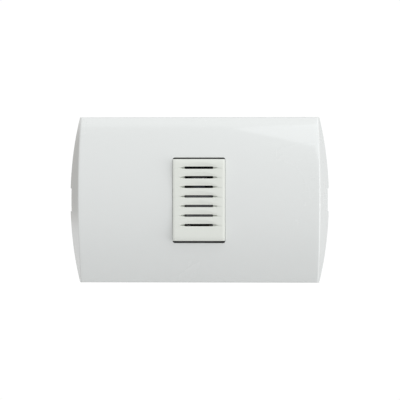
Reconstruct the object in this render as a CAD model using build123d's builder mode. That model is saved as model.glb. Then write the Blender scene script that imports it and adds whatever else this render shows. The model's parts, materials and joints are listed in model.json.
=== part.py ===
from build123d import *
import os
from math import radians, sqrt, tan

os.makedirs("parts", exist_ok=True)

# Electric door buzzer: a louvred buzzer module in a mounting frame, under a curved wall plate.
# Millimetres. X runs along the plate, Z up the wall and Y into the wall, and the wall's surface
# is the plane y = 0. Heights are measured forward from the wall, so a negative height lies
# inside the wall box.

# Wall plate
PLATE_HEIGHT = 76.0
PLATE_EDGE = 108.8
PLATE_DEPTH = 12.0
RIM_DEPTH = 1.6
SIDE_LEAN = 23.2
COVER_WALL = 2.0
RIM_WALL = 1.6
EDGE_RELIEF = 0.5
EDGE_BEVEL = 0.4
PRY_NOTCH = (10.6, 1.5)
NOTCH_REACH = 8.0
ARC_RADIUS = ((PLATE_HEIGHT / 2) ** 2 + (PLATE_DEPTH - RIM_DEPTH) ** 2) / (2 * (PLATE_DEPTH - RIM_DEPTH))
ARC_CENTRE = ARC_RADIUS - PLATE_DEPTH

# Guide skirt round the module's opening, inside the plate
SKIRT_WALL = 1.4
SKIRT_BACK = 6.9

# Stiffening ribs inside the plate
RIB_X = 44.5
RIB_HEIGHT = 46.0
RIB_THICK = 1.2
RIB_DEPTH = 1.2

# Split friction pegs that hold the plate on the frame
PEG_X = 33.0
PEG_Z = 24.5
PEG = (3.6, 4.2)
PEG_SLIT = 1.0
PEG_TIP = 0.4
PEG_LENGTH = 6.2
PEG_SOLID = 2.0
PEG_FIT = 0.05

# Buzzer module
MODULE_WIDTH = 23.5
MODULE_HEIGHT = 37.0
MODULE_FRONT = 13.0
MODULE_SHOULDER = 6.4
MODULE_ROUND = 0.7
CAP_WALL = 1.3
CAP_FACE = 1.6
OPENING_WIDTH = MODULE_WIDTH + 0.4
OPENING_HEIGHT = MODULE_HEIGHT + 1.1
OPENING_ROUND = 0.9

# Louvres: conical grooves that grow deeper downwards, each with a slot above its ledge and a
# narrow blind recess that runs on beyond the slot's ends
LOUVRE_COUNT = 7
LOUVRE_PITCH = 4.3
LOUVRE_TOP = 14.53
GROOVE_WIDTH = 21.6
GROOVE_DEPTH = 0.9
GROOVE_HEIGHT = 3.1
SLOT_LENGTH = 13.0
SLOT_HEIGHT = 0.9
TAIL_LENGTH = 16.4
TAIL_HEIGHT = 0.45
TAIL_DEPTH = 1.1

# Mounting frame
FRAME_WIDTH = 103.0
FRAME_HEIGHT = 62.0
FRAME_THICK = 2.4
BAY_PITCH = 24.5
BAY_WIDTH = 22.6
BAY_HEIGHT = 36.0
COLLAR_WALL = 1.5
SCREW_SPACING = 83.3
SCREW_SLOT = (7.0, 4.2)
CATCH_WIDTH = 10.0
CATCH_DEPTH = 1.2
CATCH_REACH = 19.3

# Module housing and terminal base
HOUSING_WIDTH = 22.4
HOUSING_HEIGHT = 35.6
HOUSING_WALL = 1.5
HOUSING_BACK = -12.0
TONGUE = (20.6, 34.2, 1.0)
TONGUE_FRONT = 8.9
POST_X = 7.2
POST_Z = 13.6
POST_SIZE = 5.0
POST_OFFSET = 0.4
LATCH_OUT = 0.9
BASE_SCREW_RADIUS = 1.05
BASE_HEAD_RADIUS = 2.3
BASE_SPIGOT_FRONT = -10.0
BASE_BACK = -13.0
BLOCK_BACK = -19.6
BLOCK_TOP = -8.6
POCKET = (8.4, 6.6)
TERMINAL_X = 5.6
TERMINAL_Z = -12.9
WIRE_X = 8.0
WIRE_Y = 14.8
WIRE_RADIUS = 1.0
CONTACT_THICK = 0.8
CLAMP_BACK = -16.7
CLAMP_THICK = 1.0
HEAD_GAP = 0.05
HEAD_HEIGHT = 2.1
SHANK_TIP = -10.6
HEAD_RADIUS = 2.75
SHANK_RADIUS = 1.45

# Magnet: a laminated U core with its coil on the lower leg
CORE_STACK = 6.4
CORE_BACK = BASE_SPIGOT_FRONT
YOKE = 3.5
COIL_LEG = (-6.0, 0.0)
BLADE_LEG = (6.4, 10.4)
POLE_FRONT = 7.4
BLADE_SEAT = 8.4
COIL_Z = sum(COIL_LEG) / 2
FLANGE = 15.6
FLANGE_THICK = 0.8
BOBBIN_FRONT = 6.6
BOBBIN_BACK = -6.5
WINDING = 14.0
WINDING_ROUND = 4.0
TAPE_THICK = 0.25
TAPE_MARGIN = 1.5
CORE_PIN_RADIUS = 1.0
CORE_PIN_INSET = 1.8
CORE_PIN_PROUD = 0.4

# Armature on its spring blade
BLADE_THICK = 0.4
ARMATURE_THICK = 1.2
ARMATURE_WIDTH = 12.0
ARMATURE_SPAN = (-9.4, 4.0)
BLADE_SCREW_X = 1.9
BLADE_SCREW_Z = 8.4
BLADE_SCREW_RADIUS = 0.8
RIVET_HEIGHTS = (-4.8, -0.5)
RIVET_RADIUS = 0.8
RIVET_HEAD = (1.3, 0.45)

# Coil leads, straight from the bobbin's back flange to the contact plates
LEAD_X = 6.0
LEAD_Z = -10.4
LEAD_RADIUS = 0.3
LEAD_SLOT = 0.7


def facing(height):
    """Plane parallel to the wall at this height in front of it, looking out to the front."""
    return Plane.XZ.offset(height)


def ring_sketch(width, height, wall):
    """Rectangular ring; wall is measured inwards from its outline."""
    Rectangle(width, height)
    Rectangle(width - 2 * wall, height - 2 * wall, mode=Mode.SUBTRACT)


def domed_body(radius, half_edge, half_height, back):
    """Solid under an arc that runs over the top and bottom, with side walls that lean outwards.

    The front is part of a cylinder along X. Each side wall is the front's end arc carried
    backwards and outwards along one slanted line.
    """
    lean = tan(radians(SIDE_LEAN))
    reach = half_edge + lean * (PLATE_DEPTH + back) + 1
    with BuildPart() as body:
        with BuildSketch(Plane.YZ):
            with Locations((ARC_CENTRE, 0)):
                Circle(radius)
            with Locations((back - PLATE_DEPTH, 0)):
                Rectangle(2 * PLATE_DEPTH, 2 * half_height, mode=Mode.INTERSECT)
        extrude(amount=reach, both=True)
        for side in (1, -1):
            with BuildSketch(Plane.YZ.offset(side * half_edge)) as beyond:
                with Locations((-PLATE_DEPTH, 0)):
                    Rectangle(4 * PLATE_DEPTH, 1.2 * PLATE_HEIGHT)
                with Locations((ARC_CENTRE, 0)):
                    Circle(radius, mode=Mode.SUBTRACT)
            carry = 2 * PLATE_DEPTH
            extrude(beyond.sketch, amount=carry, dir=(side * lean, 1, 0), mode=Mode.SUBTRACT)
    return body.part


# Cover plate, with its cavity, opening, guide skirt, pegs and pry notches
inner_half_edge = PLATE_EDGE / 2 - COVER_WALL / sqrt(1 + tan(radians(SIDE_LEAN)) ** 2) + EDGE_RELIEF
cavity = domed_body(ARC_RADIUS - COVER_WALL, inner_half_edge, PLATE_HEIGHT / 2 - RIM_WALL, 1.0)

with BuildPart() as guide_skirt:
    with BuildSketch(facing(SKIRT_BACK)):
        Rectangle(OPENING_WIDTH + 2 * SKIRT_WALL, OPENING_HEIGHT + 2 * SKIRT_WALL)
    extrude(amount=PLATE_DEPTH - SKIRT_BACK)
    add(domed_body(ARC_RADIUS - COVER_WALL / 2, PLATE_EDGE / 2, PLATE_HEIGHT / 2, 0), mode=Mode.INTERSECT)

with BuildPart() as cover_plate:
    add(domed_body(ARC_RADIUS, PLATE_EDGE / 2, PLATE_HEIGHT / 2, 0))
    end_arcs = cover_plate.edges().filter_by(lambda e: abs(abs(e.center().X) - PLATE_EDGE / 2) < 0.01)
    chamfer(end_arcs.filter_by(GeomType.CIRCLE), EDGE_BEVEL)
    add(cavity, mode=Mode.SUBTRACT)
    add(guide_skirt.part)
    with BuildSketch(facing(SKIRT_BACK)):
        RectangleRounded(OPENING_WIDTH, OPENING_HEIGHT, OPENING_ROUND)
    extrude(amount=PLATE_DEPTH, mode=Mode.SUBTRACT)
    with BuildSketch(facing(PEG_TIP)):
        with GridLocations(2 * PEG_X, 2 * PEG_Z, 2, 2):
            Rectangle(*PEG)
    extrude(amount=PEG_LENGTH)
    with BuildSketch(facing(PEG_TIP)):
        with GridLocations(2 * PEG_X, 2 * PEG_Z, 2, 2):
            Rectangle(PEG_SLIT, PEG[1])
    extrude(amount=PEG_LENGTH - PEG_SOLID, mode=Mode.SUBTRACT)
    for rib_x in (-RIB_X, RIB_X):
        with BuildSketch(Plane.YZ.offset(rib_x)):
            with Locations((ARC_CENTRE, 0)):
                Circle(ARC_RADIUS - COVER_WALL / 2)
                Circle(ARC_RADIUS - COVER_WALL - RIB_DEPTH, mode=Mode.SUBTRACT)
            with Locations((-PLATE_DEPTH, 0)):
                Rectangle(2 * PLATE_DEPTH, RIB_HEIGHT, mode=Mode.INTERSECT)
        extrude(amount=RIB_THICK / 2, both=True)
    with Locations((-PLATE_EDGE / 2, 0, 0), (PLATE_EDGE / 2, 0, 0)):
        Box(2 * NOTCH_REACH, 2 * PRY_NOTCH[1], PRY_NOTCH[0], mode=Mode.SUBTRACT)
cover_plate.part.label = "cover_plate"
export_step(cover_plate.part, "parts/cover_plate.step")

# Mounting frame: three bays in one collar, slotted screw holes and peg bosses
with BuildPart() as mounting_frame:
    with BuildSketch(facing(0)):
        RectangleRounded(FRAME_WIDTH, FRAME_HEIGHT, 3)
    extrude(amount=FRAME_THICK)
    with BuildSketch(facing(FRAME_THICK)):
        ring_sketch(FRAME_WIDTH - 3, FRAME_HEIGHT - 3, 1.1)
    extrude(amount=0.7)
    with BuildSketch(facing(FRAME_THICK)):
        collar_width = 2 * BAY_PITCH + BAY_WIDTH + 2 * COLLAR_WALL
        Rectangle(collar_width, BAY_HEIGHT + 2 * COLLAR_WALL)
    extrude(amount=MODULE_SHOULDER - FRAME_THICK)
    with BuildSketch(facing(FRAME_THICK)):
        with GridLocations(2 * PEG_X, 2 * PEG_Z, 2, 2):
            Rectangle(PEG[0] + 3, PEG[1] + 3)
    extrude(amount=1.4)
    with BuildSketch(facing(FRAME_THICK)):
        with GridLocations(SCREW_SPACING, 0, 2, 1):
            Rectangle(SCREW_SLOT[0] + 4, SCREW_SLOT[1] + 4)
    extrude(amount=0.7)
    rib_top = (BAY_HEIGHT / 2 + FRAME_HEIGHT / 2) / 2
    with BuildSketch(facing(FRAME_THICK)):
        with GridLocations(BAY_PITCH, 2 * rib_top, 4, 2):
            Rectangle(1.2, FRAME_HEIGHT / 2 - BAY_HEIGHT / 2 - 5)
        with GridLocations(2 * 44.0, 26, 2, 2):
            Rectangle(12, 1.2)
    extrude(amount=1.2)
    with BuildSketch(facing(0)):
        with GridLocations(BAY_PITCH, 0, 3, 1):
            Rectangle(BAY_WIDTH, BAY_HEIGHT)
        with GridLocations(2 * PEG_X, 2 * PEG_Z, 2, 2):
            Rectangle(PEG[0] + 2 * PEG_FIT, PEG[1] + 2 * PEG_FIT)
        with GridLocations(SCREW_SPACING, 0, 2, 1):
            SlotOverall(*SCREW_SLOT)
    extrude(amount=MODULE_SHOULDER, mode=Mode.SUBTRACT)
    with BuildSketch(facing(0)):
        with GridLocations(BAY_PITCH, 0, 3, 1):
            Rectangle(CATCH_WIDTH, 2 * CATCH_REACH)
    extrude(amount=CATCH_DEPTH, mode=Mode.SUBTRACT)
mounting_frame.part.label = "mounting_frame"
export_step(mounting_frame.part, "parts/mounting_frame.step")

# Louvred front cap of the module
louvre_heights = [LOUVRE_TOP - LOUVRE_PITCH * i for i in range(LOUVRE_COUNT)]
groove_radius = (GROOVE_WIDTH**2 / 4 + GROOVE_DEPTH**2) / (2 * GROOVE_DEPTH)
groove_axis = Axis((0, GROOVE_DEPTH - MODULE_FRONT - groove_radius, 0), (0, 0, 1))

with BuildPart() as buzzer_grille:
    with BuildSketch(facing(MODULE_SHOULDER)):
        RectangleRounded(MODULE_WIDTH, MODULE_HEIGHT, MODULE_ROUND)
    extrude(amount=MODULE_FRONT - MODULE_SHOULDER)
    fillet(buzzer_grille.faces().sort_by(Axis.Y)[0].edges(), MODULE_ROUND)
    with BuildSketch(facing(MODULE_SHOULDER)):
        Rectangle(MODULE_WIDTH - 2 * CAP_WALL, MODULE_HEIGHT - 2 * CAP_WALL)
    extrude(amount=MODULE_FRONT - CAP_FACE - MODULE_SHOULDER, mode=Mode.SUBTRACT)
    clear = 1.4
    for louvre in louvre_heights:
        ledge = louvre - SLOT_HEIGHT / 2
        groove_back = GROOVE_DEPTH - MODULE_FRONT
        with BuildSketch(Plane.YZ):
            with BuildLine():
                Polyline(
                    (groove_back, ledge),
                    (groove_back - clear, ledge),
                    (groove_back - clear, ledge + clear * GROOVE_HEIGHT / GROOVE_DEPTH),
                    close=True,
                )
            make_face()
        revolve(axis=groove_axis, mode=Mode.SUBTRACT)
    with BuildSketch(facing(MODULE_SHOULDER)):
        with Locations(*[(0, louvre) for louvre in louvre_heights]):
            SlotOverall(SLOT_LENGTH, SLOT_HEIGHT)
    extrude(amount=MODULE_FRONT, mode=Mode.SUBTRACT)
    with BuildSketch(facing(MODULE_FRONT)):
        with Locations(*[(0, louvre) for louvre in louvre_heights]):
            Rectangle(TAIL_LENGTH, TAIL_HEIGHT)
    extrude(amount=-TAIL_DEPTH, mode=Mode.SUBTRACT)
buzzer_grille.part.label = "buzzer_grille"
export_step(buzzer_grille.part, "parts/buzzer_grille.step")

# Module housing: a sleeve with a tongue for the cap, latches for the frame and two screw posts
with BuildPart() as buzzer_housing:
    with BuildSketch(facing(HOUSING_BACK)):
        ring_sketch(HOUSING_WIDTH, HOUSING_HEIGHT, HOUSING_WALL)
    extrude(amount=MODULE_SHOULDER - HOUSING_BACK)
    with BuildSketch(facing(MODULE_SHOULDER - 1)):
        ring_sketch(*TONGUE)
    extrude(amount=TONGUE_FRONT - MODULE_SHOULDER + 1)
    with BuildSketch(facing(BASE_SPIGOT_FRONT)):
        with GridLocations(2 * POST_X, 0, 2, 1):
            with Locations((0, POST_Z + POST_OFFSET)):
                Rectangle(POST_SIZE, POST_SIZE)
    extrude(amount=9)
    with BuildSketch(facing(BASE_SPIGOT_FRONT)):
        with GridLocations(2 * POST_X, 0, 2, 1):
            with Locations((0, POST_Z)):
                Circle(1.1)
    extrude(amount=7, mode=Mode.SUBTRACT)
    for end in (1, -1):
        outer = end * HOUSING_HEIGHT / 2
        latch_front = CATCH_DEPTH - 0.05
        with BuildSketch(Plane.YZ):
            with BuildLine():
                Polyline(
                    (-latch_front, outer - end * 0.2),
                    (-latch_front, outer + end * LATCH_OUT),
                    (0.4 - latch_front, outer + end * LATCH_OUT),
                    (2.4, outer),
                    (2.4, outer - end * 0.2),
                    close=True,
                )
            make_face()
        extrude(amount=4, both=True)
        with BuildSketch(facing(2.4)):
            with Locations((0, outer)):
                with GridLocations(9.4, 0, 2, 1):
                    Rectangle(0.8, 4)
        extrude(amount=-9, mode=Mode.SUBTRACT)
buzzer_housing.part.label = "buzzer_housing"
export_step(buzzer_housing.part, "parts/buzzer_housing.step")

# Terminal base: closes the housing and holds two wire pockets in a block below
with BuildPart() as terminal_base:
    spigot_width = HOUSING_WIDTH - 2 * HOUSING_WALL - 0.2
    spigot_height = HOUSING_HEIGHT - 2 * HOUSING_WALL - 0.2
    with BuildSketch(facing(HOUSING_BACK)):
        Rectangle(spigot_width, spigot_height)
    extrude(amount=BASE_SPIGOT_FRONT - HOUSING_BACK)
    with BuildSketch(facing(BASE_BACK)):
        Rectangle(HOUSING_WIDTH, HOUSING_HEIGHT)
    extrude(amount=HOUSING_BACK - BASE_BACK)
    block_height = BLOCK_TOP + HOUSING_HEIGHT / 2
    with BuildSketch(facing(BLOCK_BACK)):
        with Locations((0, BLOCK_TOP - block_height / 2)):
            Rectangle(HOUSING_WIDTH, block_height)
    extrude(amount=BASE_BACK - BLOCK_BACK)
    with BuildSketch(facing(BLOCK_BACK)):
        with Locations((-TERMINAL_X, TERMINAL_Z), (TERMINAL_X, TERMINAL_Z)):
            Rectangle(*POCKET)
    extrude(amount=BASE_BACK - BLOCK_BACK, mode=Mode.SUBTRACT)
    with BuildSketch(facing(BASE_BACK)):
        with Locations((-TERMINAL_X, TERMINAL_Z), (TERMINAL_X, TERMINAL_Z)):
            Circle(1.75)
        with Locations((-LEAD_X, LEAD_Z), (LEAD_X, LEAD_Z)):
            Rectangle(LEAD_SLOT, LEAD_SLOT)
    extrude(amount=BASE_SPIGOT_FRONT - BASE_BACK, mode=Mode.SUBTRACT)
    with BuildSketch(Plane.XY.offset(-HOUSING_HEIGHT / 2)):
        with Locations((-WIRE_X, WIRE_Y), (WIRE_X, WIRE_Y)):
            Circle(WIRE_RADIUS)
    extrude(amount=4, mode=Mode.SUBTRACT)
    with BuildSketch(facing(BASE_BACK)):
        with Locations((-POST_X, POST_Z), (POST_X, POST_Z)):
            Circle(1.3)
    extrude(amount=BASE_SPIGOT_FRONT - BASE_BACK, mode=Mode.SUBTRACT)
    with BuildSketch(facing(BASE_BACK)):
        with Locations((0, 2)):
            ring_sketch(16, 14, 0.9)
    extrude(amount=-1)
terminal_base.part.label = "terminal_base"
export_step(terminal_base.part, "parts/terminal_base.step")

# Base screws through the terminal base into the housing's posts
with BuildPart() as base_screws:
    with BuildSketch(facing(BASE_BACK)):
        with Locations((-POST_X, POST_Z), (POST_X, POST_Z)):
            Circle(BASE_SCREW_RADIUS)
    extrude(amount=9)
    with BuildSketch(facing(BASE_BACK)):
        with Locations((-POST_X, POST_Z), (POST_X, POST_Z)):
            Circle(BASE_HEAD_RADIUS)
    extrude(amount=-1.5)
    with BuildSketch(facing(BASE_BACK - 1.5)):
        with Locations((-POST_X, POST_Z), (POST_X, POST_Z)):
            Rectangle(2.8, 0.7)
            Rectangle(0.7, 2.8)
    extrude(amount=0.8, mode=Mode.SUBTRACT)
base_screws.part.label = "base_screws"
export_step(base_screws.part, "parts/base_screws.step")

# Laminated U core
pin_depth = -CORE_BACK - YOKE / 2
core_pins = [(pin_depth, COIL_LEG[0] + CORE_PIN_INSET), (pin_depth, BLADE_LEG[1] - CORE_PIN_INSET)]
with BuildPart() as magnet_core:
    with BuildSketch(Plane.YZ):
        with BuildLine():
            Polyline(
                (-CORE_BACK, COIL_LEG[0]),
                (-POLE_FRONT, COIL_LEG[0]),
                (-POLE_FRONT, COIL_LEG[1]),
                (-CORE_BACK - YOKE, COIL_LEG[1]),
                (-CORE_BACK - YOKE, BLADE_LEG[0]),
                (-BLADE_SEAT, BLADE_LEG[0]),
                (-BLADE_SEAT, BLADE_LEG[1]),
                (-CORE_BACK, BLADE_LEG[1]),
                close=True,
            )
        make_face()
    extrude(amount=CORE_STACK / 2, both=True)
    with BuildSketch(Plane.YZ):
        with Locations(*core_pins):
            Circle(CORE_PIN_RADIUS)
    extrude(amount=CORE_STACK, both=True, mode=Mode.SUBTRACT)
    with BuildSketch(facing(BLADE_SEAT)):
        with Locations((0, BLADE_SCREW_Z)):
            with GridLocations(2 * BLADE_SCREW_X, 0, 2, 1):
                Circle(BLADE_SCREW_RADIUS)
    extrude(amount=-4, mode=Mode.SUBTRACT)
magnet_core.part.label = "magnet_core"
export_step(magnet_core.part, "parts/magnet_core.step")

# Pins through the core's laminations, staked at both ends
with BuildPart() as core_rivets:
    with BuildSketch(Plane.YZ):
        with Locations(*core_pins):
            Circle(CORE_PIN_RADIUS)
    extrude(amount=CORE_STACK / 2 + CORE_PIN_PROUD, both=True)
core_rivets.part.label = "core_rivets"
export_step(core_rivets.part, "parts/core_rivets.step")

# Coil bobbin with square flanges on a square tube
tube_width = CORE_STACK + 1.7
tube_height = COIL_LEG[1] - COIL_LEG[0] + 1.7
with BuildPart() as coil_bobbin:
    with BuildSketch(facing(BOBBIN_BACK)):
        with Locations((0, COIL_Z)):
            Rectangle(tube_width, tube_height)
    extrude(amount=BOBBIN_FRONT - BOBBIN_BACK)
    for flange_back in (BOBBIN_BACK, BOBBIN_FRONT - FLANGE_THICK):
        with BuildSketch(facing(flange_back)):
            with Locations((0, COIL_Z)):
                Rectangle(FLANGE, FLANGE)
        extrude(amount=FLANGE_THICK)
    chamfer(coil_bobbin.edges().filter_by(Axis.Y).filter_by(lambda e: e.length < 1), 1.2)
    with BuildSketch(facing(BOBBIN_BACK)):
        with Locations((0, COIL_Z)):
            Rectangle(CORE_STACK + 0.1, COIL_LEG[1] - COIL_LEG[0] + 0.1)
    extrude(amount=BOBBIN_FRONT - BOBBIN_BACK, mode=Mode.SUBTRACT)
    with BuildSketch(facing(BOBBIN_BACK)):
        with Locations((-LEAD_X, LEAD_Z), (LEAD_X, LEAD_Z)):
            Rectangle(LEAD_SLOT, LEAD_SLOT)
    extrude(amount=FLANGE_THICK, mode=Mode.SUBTRACT)
coil_bobbin.part.label = "coil_bobbin"
export_step(coil_bobbin.part, "parts/coil_bobbin.step")

# Winding and the tape round it
winding_back = BOBBIN_BACK + FLANGE_THICK
winding_length = BOBBIN_FRONT - BOBBIN_BACK - 2 * FLANGE_THICK
with BuildPart() as coil_winding:
    with BuildSketch(facing(winding_back)):
        with Locations((0, COIL_Z)):
            RectangleRounded(WINDING, WINDING, WINDING_ROUND)
            Rectangle(tube_width, tube_height, mode=Mode.SUBTRACT)
    extrude(amount=winding_length)
coil_winding.part.label = "coil_winding"
export_step(coil_winding.part, "parts/coil_winding.step")

with BuildPart() as winding_tape:
    with BuildSketch(facing(winding_back + TAPE_MARGIN)):
        with Locations((0, COIL_Z)):
            RectangleRounded(WINDING + 2 * TAPE_THICK, WINDING + 2 * TAPE_THICK, WINDING_ROUND + TAPE_THICK)
            RectangleRounded(WINDING, WINDING, WINDING_ROUND, mode=Mode.SUBTRACT)
    extrude(amount=winding_length - 2 * TAPE_MARGIN)
winding_tape.part.label = "winding_tape"
export_step(winding_tape.part, "parts/winding_tape.step")

# Spring blade: wide where it is clamped and riveted, narrow where it bends
blade_side = [
    (3.1, BLADE_LEG[1] - 0.4),
    (3.1, BLADE_LEG[0] + 0.2),
    (2.1, BLADE_LEG[0] - 0.8),
    (2.1, 4.4),
    (3.4, 3.2),
    (3.4, ARMATURE_SPAN[0] + 0.2),
]
with BuildPart() as spring_blade:
    with BuildSketch(facing(BLADE_SEAT)):
        with BuildLine():
            Polyline(*blade_side, *[(-x, z) for x, z in reversed(blade_side)], close=True)
        make_face()
        with Locations(*[(0, z) for z in RIVET_HEIGHTS]):
            Circle(RIVET_RADIUS, mode=Mode.SUBTRACT)
        with Locations((-BLADE_SCREW_X, BLADE_SCREW_Z), (BLADE_SCREW_X, BLADE_SCREW_Z)):
            Circle(BLADE_SCREW_RADIUS, mode=Mode.SUBTRACT)
    extrude(amount=BLADE_THICK)
spring_blade.part.label = "spring_blade"
export_step(spring_blade.part, "parts/spring_blade.step")

# Armature plate, riveted in front of the blade
blade_front = BLADE_SEAT + BLADE_THICK
armature_height = ARMATURE_SPAN[1] - ARMATURE_SPAN[0]
with BuildPart() as armature_plate:
    with BuildSketch(facing(blade_front)):
        with Locations((0, sum(ARMATURE_SPAN) / 2)):
            Rectangle(ARMATURE_WIDTH, armature_height)
        with Locations(*[(0, z) for z in RIVET_HEIGHTS]):
            Circle(RIVET_RADIUS, mode=Mode.SUBTRACT)
    extrude(amount=ARMATURE_THICK)
armature_plate.part.label = "armature_plate"
export_step(armature_plate.part, "parts/armature_plate.step")

with BuildPart() as armature_rivets:
    with BuildSketch(facing(BLADE_SEAT)):
        with Locations(*[(0, z) for z in RIVET_HEIGHTS]):
            Circle(RIVET_RADIUS)
    extrude(amount=BLADE_THICK + ARMATURE_THICK)
    with BuildSketch(facing(blade_front + ARMATURE_THICK)):
        with Locations(*[(0, z) for z in RIVET_HEIGHTS]):
            Circle(RIVET_HEAD[0])
    extrude(amount=RIVET_HEAD[1])
armature_rivets.part.label = "armature_rivets"
export_step(armature_rivets.part, "parts/armature_rivets.step")

# Clamp and screws that hold the blade on the core's upper leg
clamp_top = blade_front + 1
with BuildPart() as blade_clamp:
    with BuildSketch(facing(blade_front)):
        with Locations((0, BLADE_SCREW_Z)):
            Rectangle(6.8, 2.8)
            with GridLocations(2 * BLADE_SCREW_X, 0, 2, 1):
                Circle(BLADE_SCREW_RADIUS, mode=Mode.SUBTRACT)
    extrude(amount=clamp_top - blade_front)
blade_clamp.part.label = "blade_clamp"
export_step(blade_clamp.part, "parts/blade_clamp.step")

with BuildPart() as blade_screws:
    with BuildSketch(facing(BLADE_SEAT - 3.5)):
        with Locations((-BLADE_SCREW_X, BLADE_SCREW_Z), (BLADE_SCREW_X, BLADE_SCREW_Z)):
            Circle(BLADE_SCREW_RADIUS)
    extrude(amount=clamp_top - BLADE_SEAT + 3.5)
    with BuildSketch(facing(clamp_top)):
        with Locations((-BLADE_SCREW_X, BLADE_SCREW_Z), (BLADE_SCREW_X, BLADE_SCREW_Z)):
            Circle(1.4)
    extrude(amount=1)
    with BuildSketch(facing(clamp_top + 1)):
        with Locations((-BLADE_SCREW_X, BLADE_SCREW_Z), (BLADE_SCREW_X, BLADE_SCREW_Z)):
            Rectangle(3, 0.4)
    extrude(amount=-0.5, mode=Mode.SUBTRACT)
blade_screws.part.label = "blade_screws"
export_step(blade_screws.part, "parts/blade_screws.step")

# Terminals, one on each side: contact plate, lead, clamping plate and screw
for side, name in ((-1, "left"), (1, "right")):
    with BuildPart() as contact_plate:
        with BuildSketch(facing(BASE_BACK)):
            with Locations((side * TERMINAL_X, TERMINAL_Z)):
                Rectangle(POCKET[0] - 0.4, POCKET[1] - 0.4)
                Circle(1.55, mode=Mode.SUBTRACT)
            with Locations((side * LEAD_X, LEAD_Z)):
                Rectangle(LEAD_SLOT, LEAD_SLOT, mode=Mode.SUBTRACT)
        extrude(amount=-CONTACT_THICK)
    contact_plate.part.label = f"contact_plate_{name}"
    export_step(contact_plate.part, f"parts/contact_plate_{name}.step")

    with BuildPart() as lead_wire:
        with BuildSketch(facing(BASE_BACK - CONTACT_THICK)):
            with Locations((side * LEAD_X, LEAD_Z)):
                Circle(LEAD_RADIUS)
        extrude(amount=winding_back - BASE_BACK + CONTACT_THICK)
    lead_wire.part.label = f"lead_wire_{name}"
    export_step(lead_wire.part, f"parts/lead_wire_{name}.step")

    with BuildPart() as clamp_plate:
        with BuildSketch(facing(CLAMP_BACK)):
            with Locations((side * TERMINAL_X, TERMINAL_Z)):
                Rectangle(POCKET[0] - 0.5, POCKET[1] - 0.5)
                Circle(1.6, mode=Mode.SUBTRACT)
        extrude(amount=CLAMP_THICK)
    clamp_plate.part.label = f"clamp_plate_{name}"
    export_step(clamp_plate.part, f"parts/clamp_plate_{name}.step")

    head_seat = CLAMP_BACK - HEAD_GAP
    with BuildPart() as terminal_screw:
        with BuildSketch(facing(head_seat)):
            with Locations((side * TERMINAL_X, TERMINAL_Z)):
                Circle(HEAD_RADIUS)
        extrude(amount=-HEAD_HEIGHT)
        with BuildSketch(facing(head_seat)):
            with Locations((side * TERMINAL_X, TERMINAL_Z)):
                Circle(SHANK_RADIUS)
        extrude(amount=SHANK_TIP - head_seat)
        with BuildSketch(facing(head_seat - HEAD_HEIGHT)):
            with Locations((side * TERMINAL_X, TERMINAL_Z)):
                Rectangle(6, 0.8)
                Rectangle(0.8, 3)
        extrude(amount=1, mode=Mode.SUBTRACT)
    terminal_screw.part.label = f"terminal_screw_{name}"
    export_step(terminal_screw.part, f"parts/terminal_screw_{name}.step")
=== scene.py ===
"""Dressed model of an electric door buzzer: a louvred module in a frame under a curved wall plate.

Sizes are millimetres, and shader values and the studio are metres. X runs along the plate, Z up the
wall, and Y into the wall, whose surface is y = 0. A height is measured forward from the wall, so a
point's y is minus its height.
"""

import json
import logging
import math
from dataclasses import dataclass
from enum import Enum
from functools import cached_property

import bmesh
import bpy
import numpy as np
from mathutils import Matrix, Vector

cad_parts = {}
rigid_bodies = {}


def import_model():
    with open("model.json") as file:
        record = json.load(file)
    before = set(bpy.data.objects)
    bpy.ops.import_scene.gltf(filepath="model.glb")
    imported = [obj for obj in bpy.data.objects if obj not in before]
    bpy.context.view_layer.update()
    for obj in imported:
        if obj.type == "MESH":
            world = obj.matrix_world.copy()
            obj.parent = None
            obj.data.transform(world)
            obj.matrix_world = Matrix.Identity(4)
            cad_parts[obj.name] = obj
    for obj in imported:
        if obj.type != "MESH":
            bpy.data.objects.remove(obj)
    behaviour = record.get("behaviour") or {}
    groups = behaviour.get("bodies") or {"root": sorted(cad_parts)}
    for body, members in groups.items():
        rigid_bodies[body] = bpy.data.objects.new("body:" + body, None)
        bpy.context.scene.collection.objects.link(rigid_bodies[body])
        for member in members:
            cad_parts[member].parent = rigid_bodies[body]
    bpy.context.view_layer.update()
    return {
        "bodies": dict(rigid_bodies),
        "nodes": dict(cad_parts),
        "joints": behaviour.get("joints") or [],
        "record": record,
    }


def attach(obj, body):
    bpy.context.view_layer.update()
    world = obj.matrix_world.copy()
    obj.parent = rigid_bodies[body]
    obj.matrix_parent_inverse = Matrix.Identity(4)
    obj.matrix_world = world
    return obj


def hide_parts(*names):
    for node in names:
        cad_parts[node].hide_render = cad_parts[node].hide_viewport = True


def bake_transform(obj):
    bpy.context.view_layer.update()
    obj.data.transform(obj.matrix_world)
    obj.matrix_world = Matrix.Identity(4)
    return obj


LOG = logging.getLogger("buzzer")
MM = 0.001
MERGE = 2e-6
SHARP_DEGREES = 35.0
QUARTER = math.pi / 2
Array = np.ndarray
Span = tuple[float, float]
Colour = tuple[float, float, float]
Piece = bpy.types.Object
Tree = bpy.types.NodeTree
Socket = bpy.types.NodeSocket


# Meshes from grids of points


def grid_quads(
        rows: int, columns: int, wrap_rows: bool = False, wrap_columns: bool = False) -> Array:
    """Quads of a grid of points that are numbered row by row.

    Args:
        rows: Number of rows of points.
        columns: Number of points in a row.
        wrap_rows: Join the last row to the first.
        wrap_columns: Join the last column to the first.

    Returns:
        One row of four point numbers for each quad.
    """
    r = np.arange(rows if wrap_rows else rows - 1)
    c = np.arange(columns if wrap_columns else columns - 1)
    r, c = np.meshgrid(r, c, indexing="ij")
    r2, c2 = (r + 1) % rows, (c + 1) % columns
    quads = [r * columns + c, r * columns + c2, r2 * columns + c2, r2 * columns + c]
    return np.stack(quads, axis=-1).reshape(-1, 4)


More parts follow.
